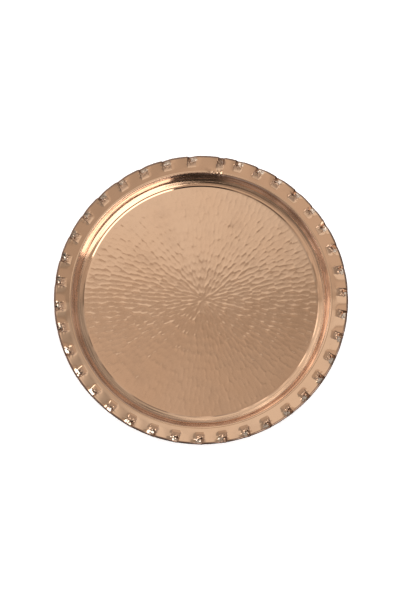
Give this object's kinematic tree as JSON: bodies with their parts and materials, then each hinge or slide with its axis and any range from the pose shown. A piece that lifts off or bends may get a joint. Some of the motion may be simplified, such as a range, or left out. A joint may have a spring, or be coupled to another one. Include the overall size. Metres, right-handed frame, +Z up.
{
  "type": "hammered copper tray",
  "caption": "Round shallow serving tray of hammered copper sheet, with a steep low wall, a narrow crimped flange and an edge rolled round a wire.",
  "frame": {"origin": "on the tray's axis, at the underside of the floor", "axes": "+Z up out of the dish, +Y towards the far side of the tray, where the crimps meet unevenly, and +X to its right"},
  "size_m": [0.2998, 0.2998, 0.0138],
  "materials": {
    "copper": "hand-hammered and polished copper",
    "iron_wire": "plain drawn iron wire, slightly dulled"
  },
  "bodies": {
    "root": {"copper_pan": "copper", "edge_wire": "iron_wire"}
  },
  "joints": []
}
